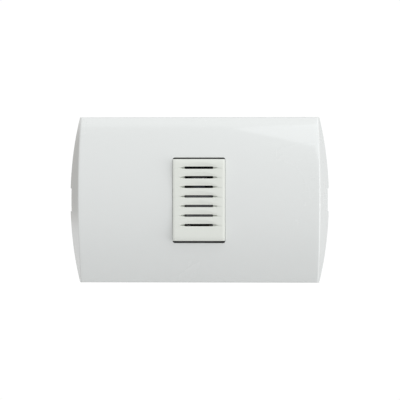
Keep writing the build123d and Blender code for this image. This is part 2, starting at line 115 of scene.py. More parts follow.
def add_object(name: str, data: bpy.types.ID) -> Piece:
    """New object at the origin, linked to the scene.

    Args:
        name: Name of the object.
        data: Its mesh, light or camera.

    Returns:
        The object.
    """
    thing = bpy.data.objects.new(name, data)
    bpy.context.scene.collection.objects.link(thing)
    return thing


def shade_smooth(mesh: bpy.types.Mesh, sharp_degrees: float) -> None:
    """Smooth shading, with the edges kept sharp that turn by more than an angle."""
    mesh.polygons.foreach_set("use_smooth", np.ones(len(mesh.polygons), dtype=bool))
    mesh.set_sharp_from_angle(angle=math.radians(sharp_degrees))


def mesh_piece(name: str, points: Array, faces: Array, sharp_degrees: float) -> Piece:
    """A new object from points and faces, with coincident points merged and faces turned outwards.

    Args:
        name: Object name.
        points: Array of x, y, z in millimetres.
        faces: Array of point numbers, one row for each face.
        sharp_degrees: Edges that turn by more than this stay sharp.

    Returns:
        The object, linked to the scene.
    """
    mesh = bpy.data.meshes.new(name)
    mesh.from_pydata((points.reshape(-1, 3) * MM).tolist(), [], faces.tolist())
    bm = bmesh.new()
    bm.from_mesh(mesh)
    bmesh.ops.remove_doubles(bm, verts=bm.verts, dist=MERGE)
    bmesh.ops.dissolve_degenerate(bm, edges=bm.edges, dist=MERGE)
    loose = [v for v in bm.verts if not v.link_faces]
    bmesh.ops.delete(bm, geom=loose, context="VERTS")
    bmesh.ops.recalc_face_normals(bm, faces=bm.faces)
    bm.to_mesh(mesh)
    bm.free()
    shade_smooth(mesh, sharp_degrees)
    mesh.update()
    return add_object(name, mesh)


def closed_bars(name: str, grids: list[Array]) -> Piece:
    """One object of bars, each closed at its ends by a point in the middle of the end's loop.

    Args:
        name: Object name.
        grids: Points of each bar, one row for each loop round it.

    Returns:
        The object, linked to the scene.
    """
    points, faces, start = [], [], 0
    for grid in grids:
        first, last = (np.broadcast_to(grid[i].mean(axis=0), (1, *grid[i].shape)) for i in (0, -1))
        grid = np.concatenate([first, grid, last])
        points.append(grid.reshape(-1, 3))
        faces.append(grid_quads(*grid.shape[:2], wrap_columns=True) + start)
        start += len(points[-1])
    return mesh_piece(name, np.concatenate(points), np.concatenate(faces), SHARP_DEGREES)


def bend(start: Array, corner: Array, end: Array, steps: int = 6) -> list[Array]:
    """Rings along a quadratic curve from start to end that is pulled towards corner.

    Each point is (1 - t)^2 start + 2 t (1 - t) corner + t^2 end.

    Args:
        start: Ring of points where the bend begins.
        corner: Ring of points at the sharp corner that is rounded off.
        end: Ring of points where the bend ends.
        steps: Number of steps; one ring more is made.

    Returns:
        The rings in order, start and end among them.
    """
    shares = np.linspace(0.0, 1.0, steps + 1)
    return [(1 - t) ** 2 * start + 2 * t * (1 - t) * corner + t**2 * end for t in shares]


@dataclass(frozen=True)
class Columns:
    """Columns round a rectangle, as many for every size, so that loops join into one surface.

    side_marks and end_marks are shares of the way along the right and left sides and along the top
    and bottom, without their ends; each corner takes corner_steps + 1 columns.
    """

    side_marks: tuple[float, ...]
    end_marks: tuple[float, ...]
    corner_steps: int = 5

    def loop(self, width: float, height: float, radius: float = 0.0) -> Array:
        """Points of a rectangle with rounded corners, from the right side's foot anticlockwise.

        A side's points lie at its marks; a corner's points lie at radius from the corner's centre.

        Args:
            width: Outer width.
            height: Outer height.
            radius: Corner radius.

        Returns:
            Array of x and z, one row for each column.
        """
        a, b = width / 2 - radius, height / 2 - radius
        corners = np.array([(a, -b), (a, b), (-a, b), (-a, -b), (a, -b)])
        turn = np.linspace(0.0, QUARTER, self.corner_steps + 1)
        parts = []
        for number, (first, second) in enumerate(zip(corners, corners[1:])):
            marks = np.array(self.end_marks if number % 2 else self.side_marks)[:, None]
            angle = turn + number * QUARTER
            out = np.stack([np.cos(angle), np.sin(angle)], axis=1)
            parts += [first + marks * (second - first) + radius * out[0], second + radius * out]
        return np.concatenate(parts)

    def directions(self) -> Array:
        """Outward direction of each column, as x and z."""
        return self.loop(2.0, 2.0, 1.0)


def ring(xz: Array, height: Array | float) -> Array:
    """Three-dimensional ring from x and z columns at a height in front of the wall."""
    flat = np.broadcast_to(np.asarray(height, dtype=float), xz.shape[:1])
    return np.stack([xz[:, 0], -flat, xz[:, 1]], axis=1)


# Shaders


class Axis(Enum):
    """Direction that rolling lines run along, as the scale of their noise on each axis."""

    X = (0.03, 1.0, 1.0)
    Z = (1.0, 1.0, 0.03)


class Graph:
    """Node tree with short calls that add nodes and wire them up."""

    def __init__(self, tree: Tree) -> None:
        """Takes up an existing tree."""
        self.tree = tree

    def wire(self, socket: Socket, value: object) -> None:
        """Links a value to an input, or sets it if it's a plain one.

        Args:
            socket: The input.
            value: Socket or plain value.
        """
        if isinstance(value, Socket):
            self.tree.links.new(value, socket)
        else:
            socket.default_value = value

    def add(self, kind: str, *inputs: object, output: str = "", **values: object) -> Socket:
        """Adds a node and gives back one of its outputs.

        Args:
            kind: Blender's type name of the node, without ShaderNode.
            *inputs: Values or sockets for its first inputs.
            output: Name of the output to give back; without it, the first that is in use.
            **values: Properties of the node, then values or sockets for inputs by their names, with
                underscores for spaces.

        Returns:
            The output's socket.
        """
        node = self.tree.nodes.new(f"ShaderNode{kind}")
        for key, value in values.items():
            if hasattr(node, key):
                setattr(node, key, value)
            else:
                self.wire(node.inputs[key.replace("_", " ")], value)
        for socket, value in zip(node.inputs, inputs):
            self.wire(socket, value)
        return node.outputs[output] if output else next(out for out in node.outputs if out.enabled)

    def math(self, operation: str, *inputs: object) -> Socket:
        """Result of a math node on sockets or numbers."""
        return self.add("Math", *inputs, operation=operation)

    def vector(self, operation: str, *inputs: object) -> Socket:
        """Result of a vector math node on sockets or vectors."""
        return self.add("VectorMath", *inputs, operation=operation)

    def position(self) -> Socket:
        """Position on the piece, in metres in the frame that all pieces share."""
        return self.add("TexCoord", output="Object")

    def raised(self, value: Socket, mask: Socket, share: object) -> Socket:
        """Value plus a share of a mask."""
        return self.math("ADD", value, self.math("MULTIPLY", mask, share))

    def noise(self, scale: object, place: Socket | None = None, **values: float) -> Socket:
        """Noise from 0 to 1 at a place, or else at the position on the piece."""
        return self.add("TexNoise", Vector=place or self.position(), Scale=scale, **values)

    def span(self, mask: Socket, low: float, high: float) -> Socket:
        """Mask stretched to go from low to high."""
        return self.add("MapRange", mask, To_Min=low, To_Max=high)

    def fade(self, value: Socket, between: Span, low: float, high: float) -> Socket:
        """Smooth step from low to high while the value crosses a span."""
        return self.add("MapRange", value, *between, low, high, interpolation_type="SMOOTHSTEP")

    def blend(self, mask: Socket, first: object, second: object) -> Socket:
        """Colour from the first colour or socket to the second as the mask goes from 0 to 1."""
        ends = [end if isinstance(end, Socket) else (*end, 1.0) for end in (first, second)]
        return self.add("Mix", mask, data_type="RGBA", A=ends[0], B=ends[1])


class EffectGroup(Graph):
    """Shader group with number inputs and one output."""

    def __init__(self, name: str, output: str, **inputs: float) -> None:
        """Starts the group.

        Args:
            name: Group name.
            output: Name of its output.
            **inputs: Its inputs with their starting values.
        """
        super().__init__(bpy.data.node_groups.new(name, "ShaderNodeTree"))
        sockets = self.tree.interface
        for key, value in inputs.items():
            socket = sockets.new_socket(key, in_out="INPUT", socket_type="NodeSocketFloat")
            socket.default_value = value
        sockets.new_socket(output, in_out="OUTPUT", socket_type="NodeSocketFloat")
        self.source = self.tree.nodes.new("NodeGroupInput").outputs
        self.target = self.tree.nodes.new("NodeGroupOutput").inputs[output]

    def close(self, value: Socket) -> Tree:
        """Puts a value out and gives the finished group back."""
        self.wire(self.target, value)
        return self.tree


class Effects:
    """Shader groups that several finishes use, each built once.

    MARKS holds the turn and the stretch of the noise for each direction of handling marks, and the
    powers make marks and lines narrow.
    """

    COARSE_SCALE = 0.13
    LEAST_DUST = 0.15
    MARKS = (
        ((0.15, 0.5, 0.25), (60.0, 60.0, 1600.0)),
        ((-0.27, -0.9, -0.45), (1300.0, 60.0, 50.0)),
    )
    MARK_POWER = 9.0
    LINE_POWER = 0.6

    def __init__(self) -> None:
        """Builds every group."""
        self.grain = self._grain()
        self.swirl = self._swirl()
        self.wear = self._wear()
        self.dust = self._dust()
        self.scratches = self._scratches()
        self.bands = self._bands()
        self.rolled = {axis: self._rolled(axis) for axis in Axis}

    @staticmethod
    def _grain() -> Tree:
        """Fine moulded grain: fine noise plus a share of coarse noise, as a height.

        Returns:
            The group.
        """
        group = EffectGroup("moulded_grain", "Height", Scale=3000.0, Coarse=0.35)
        scale = group.source["Scale"]
        fine = group.noise(scale, Detail=3.0, Roughness=0.6)
        coarse = group.math("MULTIPLY", scale, Effects.COARSE_SCALE)
        coarse = group.noise(coarse, Detail=2.0, Roughness=0.5)
        return group.close(group.raised(fine, coarse, group.source["Coarse"]))

    @staticmethod
    def _swirl() -> Tree:
        """Slow change over a surface, as where the melt flowed: warped noise from 0 to 1.

        Returns:
            The group.
        """
        group = EffectGroup("moulding_flow", "Mask", Scale=28.0)
        scale = group.source["Scale"]
        return group.close(group.noise(scale, Detail=4.0, Roughness=0.55, Distortion=0.8))

    @staticmethod
    def _wear() -> Tree:
        """Worn edges: where the mesh is convex, broken up by noise, as a mask.

        Returns:
            The group.
        """
        group = EffectGroup("edge_wear", "Mask", Reach=0.08, Scale=900.0)
        convex = group.math("SUBTRACT", group.add("NewGeometry", output="Pointiness"), 0.5)
        lifted = group.math("DIVIDE", convex, group.source["Reach"])
        broken = group.math("MULTIPLY", lifted, group.noise(group.source["Scale"], Detail=3.0))
        return group.close(group.add("Clamp", broken))

    @staticmethod
    def _dust() -> Tree:
        """Thin patchy dust, most of it on faces that look up, as a mask.

        Returns:
            The group.
        """
        group = EffectGroup("settled_dust", "Mask", Amount=0.2, Scale=160.0)
        normal = group.add("NewGeometry", output="Normal")
        up = group.math("MAXIMUM", group.add("SeparateXYZ", normal, output="Z"), Effects.LEAST_DUST)
        patches = group.noise(group.source["Scale"], Detail=5.0, Roughness=0.65)
        mask = group.math("MULTIPLY", up, patches)
        return group.close(group.math("MULTIPLY", mask, group.source["Amount"]))

    @staticmethod
    def _scratches() -> Tree:
        """Faint handling marks: long thin noise in two slanted directions, as a mask.

        Returns:
            The group.
        """
        group = EffectGroup("handling_marks", "Mask", Density=0.5)
        marks = []
        for turn, stretch in Effects.MARKS:
            place = group.add("Mapping", group.position(), Rotation=turn, Scale=stretch)
            noise = group.noise(1.0, place, Detail=2.0)
            marks.append(group.math("POWER", noise, Effects.MARK_POWER))
        both = group.math("ADD", *marks)
        return group.close(group.math("MULTIPLY", both, group.source["Density"]))

    @staticmethod
    def _bands() -> Tree:
        """Lines across X, as between sheets: |sin(pi (x / pitch + waver noise))|^power as a height.

        Returns:
            The group.
        """
        group = EffectGroup("stack_lines", "Height", Pitch=0.0005, Waver=0.05)
        x = group.add("SeparateXYZ", group.position(), output="X")
        count = group.math("DIVIDE", x, group.source["Pitch"])
        count = group.raised(count, group.noise(400.0, Detail=2.0), group.source["Waver"])
        wave = group.math("ABSOLUTE", group.math("SINE", group.math("MULTIPLY", count, math.pi)))
        return group.close(group.math("POWER", wave, Effects.LINE_POWER))

    @staticmethod
    def _rolled(axis: Axis) -> Tree:
        """Rolling lines of sheet metal: noise drawn out along one axis.

        Args:
            axis: Axis that the lines run along.

        Returns:
            The group, whose height goes from 0 to 1.
        """
        group = EffectGroup(f"rolling_lines_{axis.name}", "Height", Scale=2500.0)
        place = group.add("Mapping", group.position(), Scale=axis.value)
        return group.close(group.noise(group.source["Scale"], place, Detail=3.0, Roughness=0.55))


class Painter(Graph):
    """One material under construction: its tree with its Principled shader."""

    def __init__(self, name: str) -> None:
        """Starts a material.

        Args:
            name: Material name.
        """
        self.material = bpy.data.materials.new(name)
        self.material.use_nodes = True
        super().__init__(self.material.node_tree)
        self.shader = self.tree.nodes["Principled BSDF"]

    def set(self, **values: object) -> None:
        """Sets or links the shader's inputs, by their names with underscores for spaces."""
        for key, value in values.items():
            self.wire(self.shader.inputs[key.replace("_", " ")], value)

    def place(self, group: Tree, **values: float) -> Socket:
        """Places a shared group with its own values."""
        return self.add("Group", node_tree=group, **values)

    def bumps(self, *layers: tuple[Socket, float]) -> None:
        """Stacks bump layers into the shader's normal.

        Args:
            *layers: Heights, each with its depth in metres.
        """
        normal = {}
        for height, depth in layers:
            bump = self.add("Bump", Strength=1.0, Distance=depth, Height=height, **normal)
            normal = {"Normal": bump}
        self.set(**normal)


def lighter(colour: Colour, share: float) -> Colour:
    """Colour moved towards white by a share, or towards black by a negative one."""
    goal = 1.0 if share > 0 else 0.0
    return tuple(c + (goal - c) * abs(share) for c in colour)


@dataclass(frozen=True)
class Finish:
    """Look of one material slot; each kind of finish lays its own layers on the shader."""

    name: str
    colour: Colour

    def build(self, effects: Effects) -> bpy.types.Material:
        """Makes the material.

        Args:
            effects: Shader groups to place.

        Returns:
            The material.
        """
        paint = Painter(self.name)
        self.lay(paint, effects)
        return paint.material

    def lay(self, paint: Painter, effects: Effects) -> None:
        """Lays the finish's own layers."""
        raise NotImplementedError(self.name)

    def shades(self, darker: float, paler: float) -> tuple[Colour, Colour]:
        """The colour moved towards black by one share and towards white by another."""
        return lighter(self.colour, -darker), lighter(self.colour, paler)


@dataclass(frozen=True)
class MouldedFinish(Finish):
    """Moulded plastic: even colour with slow flow marks, fine grain, dust and polished edges."""

    roughness: Span
    grain_scale: float
    grain_depth: float
    dust: float = 0.05
    dust_colour: Colour = (0.55, 0.53, 0.50)
    dust_roughness: float = 0.5
    coat: float = 0.0
    handling: float = 0.5
    handling_roughness: float = 0.12
    flow_shade: float = 0.006
    flow_bump: float = 6.0
    edge_light: float = 0.08

    def lay(self, paint: Painter, effects: Effects) -> None:
        """Lays flow marks, rubbed edges and dust, and bumps for the grain and handling marks.

        Args:
            paint: Material to paint.
            effects: Shader groups to place.
        """
        paint.set(IOR=1.49, Specular_IOR_Level=0.5, Coat_Weight=self.coat, Coat_Roughness=0.05)
        flow = paint.place(effects.swirl, Scale=28.0)
        grain = paint.place(effects.grain, Scale=self.grain_scale)
        wear = paint.place(effects.wear, Reach=0.10, Scale=700.0)
        marks = paint.place(effects.scratches, Density=self.handling)
        dust = paint.place(effects.dust, Amount=self.dust, Scale=150.0)
        body = paint.blend(flow, *self.shades(self.flow_shade, self.flow_shade))
        body = paint.blend(wear, body, lighter(self.colour, self.edge_light))
        rough = paint.raised(paint.span(flow, *self.roughness), marks, self.handling_roughness)
        rough = paint.raised(rough, dust, self.dust_roughness)
        paint.set(Base_Color=paint.blend(dust, body, self.dust_colour), Roughness=rough)
        depth = self.grain_depth
        paint.bumps((grain, depth), (flow, depth * self.flow_bump), (marks, depth))


@dataclass(frozen=True)
class MetalFinish(Finish):
    """Sheet or turned metal: rolling lines, uneven tarnish, dust and worn edges."""

    tarnish: Colour
    roughness: Span
    lines: Axis
    line_depth: float = 4e-6
    line_roughness: float = 0.08
    spots: float = 220.0
    dust: float = 0.12
    dust_colour: Colour = (0.4, 0.39, 0.37)
    worn: float = 0.25

    def lay(self, paint: Painter, effects: Effects) -> None:
        """Lays tarnish, worn edges and dust, and bumps along the rolling lines.

        Args:
            paint: Material to paint.
            effects: Shader groups to place.
        """
        paint.set(Metallic=1.0)
        lines = paint.place(effects.rolled[self.lines], Scale=2600.0)
        patch = paint.place(effects.swirl, Scale=self.spots)
        wear = paint.place(effects.wear, Reach=0.12, Scale=1500.0)
        dust = paint.place(effects.dust, Amount=self.dust, Scale=400.0)
        body = paint.blend(patch, self.tarnish, self.colour)
        body = paint.blend(wear, body, lighter(self.colour, self.worn))
        rough = paint.raised(paint.span(patch, *self.roughness), lines, self.line_roughness)
        paint.set(Base_Color=paint.blend(dust, body, self.dust_colour), Roughness=rough)
        paint.bumps((lines, self.line_depth), (patch, self.line_depth))


@dataclass(frozen=True)
class StackedFinish(Finish):
    """Stack of thin steel sheets: a dark line between each two and edges that vary in shade."""

    pitch: float
    roughness: Span = (0.38, 0.58)
    shade: Span = (0.25, 0.12)
    rust: Colour = (0.22, 0.12, 0.07)
    line_shade: float = -0.75
    line_depth: float = 4e-5
    patch_depth: float = 6e-6

    def lay(self, paint: Painter, effects: Effects) -> None:
        """Lays shades, lines and rust, and bumps at the lines.

        Args:
            paint: Material to paint.
            effects: Shader groups to place.
        """
        paint.set(Metallic=0.9)
        bands = paint.place(effects.bands, Pitch=self.pitch, Waver=0.12)
        patch = paint.place(effects.swirl, Scale=300.0)
        rust = paint.place(effects.dust, Amount=0.5, Scale=700.0)
        body = paint.blend(patch, *self.shades(*self.shade))
        body = paint.blend(bands, lighter(self.colour, self.line_shade), body)
        rough = paint.span(patch, *self.roughness)
        paint.set(Base_Color=paint.blend(rust, body, self.rust), Roughness=rough)
        paint.bumps((bands, self.line_depth), (patch, self.patch_depth))


@dataclass(frozen=True)
class EnamelledWireFinish(Finish):
    """Enamelled copper wire: clear coat over copper, slightly uneven from turn to turn."""

    roughness: Span = (0.22, 0.42)
    shade: Span = (0.3, 0.12)
    dust_colour: Colour = (0.4, 0.3, 0.22)
    turn_depth: float = 8e-6

    def lay(self, paint: Painter, effects: Effects) -> None:
        """Lays shades and dust, and bumps along the turns.

        Args:
            paint: Material to paint.
            effects: Shader groups to place.
        """
        paint.set(Metallic=0.85, Coat_Weight=0.8, Coat_Roughness=0.12)
        patch = paint.place(effects.swirl, Scale=500.0)
        turns = paint.place(effects.rolled[Axis.X], Scale=1800.0)
        dust = paint.place(effects.dust, Amount=0.15, Scale=500.0)
        body = paint.blend(patch, *self.shades(*self.shade))
        rough = paint.span(turns, *self.roughness)
        paint.set(Base_Color=paint.blend(dust, body, self.dust_colour), Roughness=rough)
        paint.bumps((turns, self.turn_depth))


@dataclass(frozen=True)
class TapeFinish(Finish):
    """Glossy film tape: faint wrinkles along the wrap and a darker tone where it lies double."""

    roughness: Span = (0.2, 0.45)
    shade: Span = (0.35, 0.1)
    wrinkle_depth: float = 4e-5
    patch_depth: float = 2e-5

    def lay(self, paint: Painter, effects: Effects) -> None:
        """Lays shades, and bumps for the wrinkles.

        Args:
            paint: Material to paint.
            effects: Shader groups to place.
        """
        paint.set(Coat_Weight=0.6, Coat_Roughness=0.1)
        wrinkles = paint.place(effects.rolled[Axis.X], Scale=600.0)
        patch = paint.place(effects.swirl, Scale=120.0)
        body = paint.blend(patch, *self.shades(*self.shade))
        paint.set(Base_Color=body, Roughness=paint.span(wrinkles, *self.roughness))
        paint.bumps((wrinkles, self.wrinkle_depth), (patch, self.patch_depth))


class Finishes:
    """All finishes of the buzzer, each made once and kept under its material slot's name."""

    PARTS = {
        "cover_gloss": MouldedFinish(
            "polished_white", (0.776, 0.794, 0.786), (0.26, 0.28), 5200.0, 1e-6,
            dust=0.02, coat=0.8, handling=0.1, flow_shade=0.0015),
        "module_satin": MouldedFinish(
            "satin_white", (0.784, 0.806, 0.757), (0.38, 0.48), 4200.0, 5e-6),
        "frame_plastic": MouldedFinish(
            "frame_grey", (0.08, 0.08, 0.085), (0.45, 0.6), 3000.0, 1.2e-5, dust=0.15),
        "housing_plastic": MouldedFinish(
            "housing_grey", (0.10, 0.10, 0.105), (0.45, 0.6), 3000.0, 1e-5, dust=0.12),
        "base_plastic": MouldedFinish(
            "terminal_black", (0.018, 0.018, 0.02), (0.4, 0.6), 2600.0, 1.4e-5, dust=0.10),
        "bobbin_nylon": MouldedFinish(
            "natural_nylon", (0.72, 0.68, 0.52), (0.35, 0.5), 2600.0, 6e-6),
        "core_steel": StackedFinish("stacked_steel", (0.09, 0.09, 0.10), 0.0005),
        "copper_wire": EnamelledWireFinish("enamelled_copper", (0.62, 0.22, 0.08)),
        "coil_tape": TapeFinish("amber_tape", (0.72, 0.48, 0.07)),
        "spring_steel": MetalFinish(
            "blued_spring", (0.02, 0.024, 0.035), (0.012, 0.012, 0.016), (0.22, 0.38), Axis.Z,
            dust=0.03, worn=0.03),
        "armature_steel": MetalFinish(
            "plated_iron", (0.12, 0.12, 0.125), (0.08, 0.08, 0.085), (0.35, 0.55), Axis.X),
        "contact_brass": MetalFinish(
            "rolled_brass", (0.78, 0.56, 0.22), (0.45, 0.30, 0.12), (0.22, 0.42), Axis.X),
        "zinc_steel": MetalFinish(
            "bright_zinc", (0.70, 0.71, 0.73), (0.50, 0.51, 0.52), (0.20, 0.36), Axis.Z),
    }

    def __init__(self) -> None:
        """Builds the shared effects and one material for each slot."""
        effects = Effects()
        self.made = {slot: finish.build(effects) for slot, finish in self.PARTS.items()}

    def dress(self, piece: Piece, slot: str) -> None:
        """Gives a piece without materials the one of a slot of the record."""
        piece.data.materials.append(self.made[slot])


def settle(piece: Piece, body: str, slot: str, finishes: Finishes, *nodes: str) -> None:
    """Dresses a finished piece, puts it on its body and hides the CAD nodes that it replaces.

    Args:
        piece: Finished piece.
        body: Body that it rides on.
        slot: Material slot.
        finishes: Materials by slot.
        *nodes: CAD nodes that it replaces.
    """
    finishes.dress(piece, slot)
    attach(piece, body)
    if nodes:
        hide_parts(*nodes)
    LOG.info("%s: %d faces, on %s, slot %s", piece.name, len(piece.data.polygons), body, slot)


# The wall plate


@dataclass
class WallPlate:
    """Curved cover plate on the cover body: a shell with the opening and skirt, ribs and pegs.

    Its front is an arc, depth in front of the wall in the middle and rim at the top and bottom, and
    its side walls lean outwards from a front edge of length edge. The opening has a width, a height
    and a corner radius. The section of a rib is across the rib and down from the arc. The stations
    of a peg's prongs and stem are heights in front of the wall, each with the section's scale.
    """

    height: float = 76.0
    edge: float = 108.8
    depth: float = 12.0
    rim: float = 1.6
    lean_degrees: float = 23.2
    wall: float = 2.0
    inner_half_edge: float = 53.06
    inner_half_height: float = 36.4
    opening: tuple[float, float, float] = (23.71, 38.6, 0.9)
    opening_drop: float = 0.15
    opening_draft: float = 0.4
    opening_round: float = 0.25
    skirt_wall: float = 1.4
    skirt_corner: float = 0.3
    skirt_back: float = 6.9
    edge_round: float = 0.55
    edge_round_depth: float = 0.44
    end_round: float = 0.55
    notch_width: float = 10.6
    notch_height: float = 1.5
    notch_step: float = 2e-5
    peg_size: Span = (3.6, 4.2)
    peg_corner: float = 0.15
    peg_slit: float = 1.0
    peg_place: Span = (33.0, 24.5)
    prong: tuple[Span, ...] = ((0.4, 0.55), (0.52, 0.8), (1.1, 1.0), (5.6, 1.0), (5.7, 1.0))
    stem: tuple[Span, ...] = ((4.6, 0.98), (4.65, 1.0), (6.0, 1.0))
    rib_x: float = 44.5
    rib_half_length: float = 23.0
    rib_steps: int = 40
    rib: tuple[Span, ...] = (
        (-0.6, 0.6), (-0.6, 3.05), (-0.45, 3.2), (0.45, 3.2), (0.6, 3.05), (0.6, 0.6))
    side_steps: int = 50
    end_steps: int = 60
    front_steps: int = 27
    front_crowding: float = 0.9
    inner_steps: int = 13
    wall_steps: tuple[float, ...] = (0.06, 0.25, 0.5, 0.75, 0.94, 1.0)
    sharp_degrees: float = 30.0

    @property
    def radius(self) -> float:
        """Radius of the arc through the top, the middle and the bottom."""
        rise = self.depth - self.rim
        return ((self.height / 2) ** 2 + rise**2) / (2 * rise)

    def arc(self, z: Array, inset: Array | float = 0.0) -> Array:
        """Height of the arc, or of one inset below it: sqrt(r^2 - z^2) less the centre's depth."""
        return np.sqrt((self.radius - inset) ** 2 - z**2) - (self.radius - self.depth)

    @cached_property
    def columns(self) -> Columns:
        """Columns round the plate, with a close pair at each end of the pry notches.

        Returns:
            The columns that every ring of the plate has.
        """
        half, gap = self.notch_width / self.height / 2, self.notch_step
        pairs = [0.5 - half - gap, 0.5 - half + gap, 0.5 + half - gap, 0.5 + half + gap]
        sides = np.sort(np.concatenate([np.linspace(0.0, 1.0, self.side_steps)[1:-1], pairs]))
        return Columns(tuple(sides), tuple(np.linspace(0.0, 1.0, self.end_steps)[1:-1]))

    @cached_property
    def outline(self) -> Array:
        """The plate's front outline, where the arc meets the side walls."""
        return self.columns.loop(self.edge, self.height)

    def across(self, start: Array, goal: Array, shares: Array, inset: float = 0.0) -> list[Array]:
        """Rings on the arc, or inset below it, at shares of the way from a ring to a goal."""
        paths = [start[:, ::2] + share * (goal - start[:, ::2]) for share in shares]
        return [ring(path, self.arc(path[:, 1], inset)) for path in paths]

    def wall_ring(self, half_edge: float, half_height: float, top: Array, height: Array) -> Array:
        """Ring on the leaning walls: x = share of the edge * (half edge + lean * (top - height)).

        Args:
            half_edge: Half the wall's length at the top of each column.
            half_height: Half the wall's height.
            top: Height of the arc that each column hangs from.
            height: Height asked for.

        Returns:
            The ring.
        """
        share = self.columns.loop(2.0, 2.0 * half_height)
        reach = half_edge + math.tan(math.radians(self.lean_degrees)) * (top - height)
        return ring(np.stack([share[:, 0] * reach, share[:, 1]], axis=1), height)

    def outer_ring(self, height: Array) -> Array:
        """Ring on the outside of the side walls."""
        return self.wall_ring(self.edge / 2, self.height / 2, self.arc(self.outline[:, 1]), height)

    def opening_rings(self) -> list[Array]:
        """Rings from the skirt's back edge up the opening's wall and round its front edge.

        Returns:
            The rings in order.
        """
        out = self.columns.directions()
        hole = self.columns.loop(*self.opening) - (0.0, self.opening_drop)
        far = hole + out * self.opening_round
        top = self.arc(hole[:, 1])
        back = ring(hole + out * self.opening_draft, self.skirt_back)
        low, start = (ring(hole, top - share * self.opening_round) for share in (2, 1))
        return [back, low, *bend(start, ring(hole, top), ring(far, self.arc(far[:, 1])))]

    def front_rings(self, start: Array) -> list[Array]:
        """Rings over the arc from the opening to the plate's outline, and round its front edge.

        Args:
            start: Last ring of the opening's front edge.

        Returns:
            The rings in order, the last one just below the front edge on the side walls.
        """
        toward = np.sign(self.outline) * np.isclose(np.abs(self.outline), self.outline.max(axis=0))
        inset = self.outline - toward * (self.edge_round, self.end_round)
        shares = np.linspace(0.0, 1.0, self.front_steps)[1:] ** self.front_crowding
        rings = self.across(start, inset, shares)
        top = self.arc(self.outline[:, 1])
        drop = np.where(toward[:, 0], self.edge_round_depth, self.end_round)
        return rings[:-1] + bend(rings[-1], ring(self.outline, top), self.outer_ring(top - drop))

    def wall_rings(self, start: Array) -> list[Array]:
        """Rings down the outside of the side walls, across the rim and up the inside.

        Args:
            start: Last ring of the front edge.

        Returns:
            The rings in order, the last one on the inner arc.
        """
        x, z = np.abs(self.outline).T
        in_notch = np.isclose(x, self.edge / 2) & (z < self.notch_width / 2)
        rim = np.where(in_notch, self.notch_height, 0.0)
        first = -start[:, 1]
        rings = [self.outer_ring(first + share * (rim - first)) for share in self.wall_steps]
        scale = self.inner_half_height / (self.height / 2)
        top = self.arc(self.outline[:, 1] * scale, self.wall)
        for share in (0.0, 0.5, 1.0):
            height = rim + share * (np.maximum(top, rim) - rim)
            rings.append(self.wall_ring(self.inner_half_edge, self.inner_half_height, top, height))
        return rings

    def inner_rings(self, start: Array) -> list[Array]:
        """Rings over the inner arc and down the guide skirt to its back edge.

        Args:
            start: Ring at the foot of the inner arc.

        Returns:
            The rings in order.
        """
        width, height = (size + 2 * self.skirt_wall for size in self.opening[:2])
        skirt = self.columns.loop(width, height, self.skirt_corner)
        rings = self.across(start, skirt, np.linspace(0.0, 1.0, self.inner_steps)[1:], self.wall)
        return [*rings, ring(skirt, self.skirt_back)]

    def shell(self) -> Piece:
        """The plate as one closed surface: all rings in order, the last one joined to the first.

        Returns:
            The piece.
        """
        rings = self.opening_rings()
        for more in (self.front_rings, self.wall_rings, self.inner_rings):
            rings += more(rings[-1])
        points = np.stack(rings)
        faces = grid_quads(*points.shape[:2], wrap_rows=True, wrap_columns=True)
        return mesh_piece("wall_plate", points, faces, self.sharp_degrees)

    def pegs(self) -> Piece:
        """Four split pegs: each has two prongs on a stem, all bars with a rounded section.

        Returns:
            The piece.
        """
        width, height = self.peg_size
        prong = (width - self.peg_slit) / 2
        shift = (self.peg_slit + prong) / 2
        bars = ((-shift, prong, self.prong), (shift, prong, self.prong), (0.0, width, self.stem))
        columns = Columns((0.5,), (0.5,), 3)
        grids = []
        for sx, sz in ((-1, -1), (-1, 1), (1, -1), (1, 1)):
            for offset, size, stations in bars:
                centre = (sx * self.peg_place[0] + offset, sz * self.peg_place[1])
                grids.append(np.stack([
                    ring(columns.loop(size * s, height * s, self.peg_corner * s) + centre, y)
                    for y, s in stations]))
        return closed_bars("wall_plate_pegs", grids)

    def ribs(self) -> Piece:
        """Two stiffening ribs: a small rounded section carried along the inner arc.

        Returns:
            The piece.
        """
        z = np.linspace(-self.rib_half_length, self.rib_half_length, self.rib_steps)[:, None]
        across, inset = np.array(self.rib).T
        y = -self.arc(z, inset)
        grids = [np.broadcast_arrays(x + across, y, z) for x in (-self.rib_x, self.rib_x)]
        return closed_bars("wall_plate_ribs", [np.stack(grid, axis=2) for grid in grids])

    def build(self, finishes: Finishes) -> None:
        """Makes the plate, its pegs and its ribs on the cover body.

        Args:
            finishes: Finishes to dress the pieces in.
        """
        settle(self.shell(), "cover", "cover_gloss", finishes, "cover_plate")
        settle(self.pegs(), "cover", "cover_gloss", finishes)
        settle(self.ribs(), "cover", "cover_gloss", finishes)


# The module's louvred cap


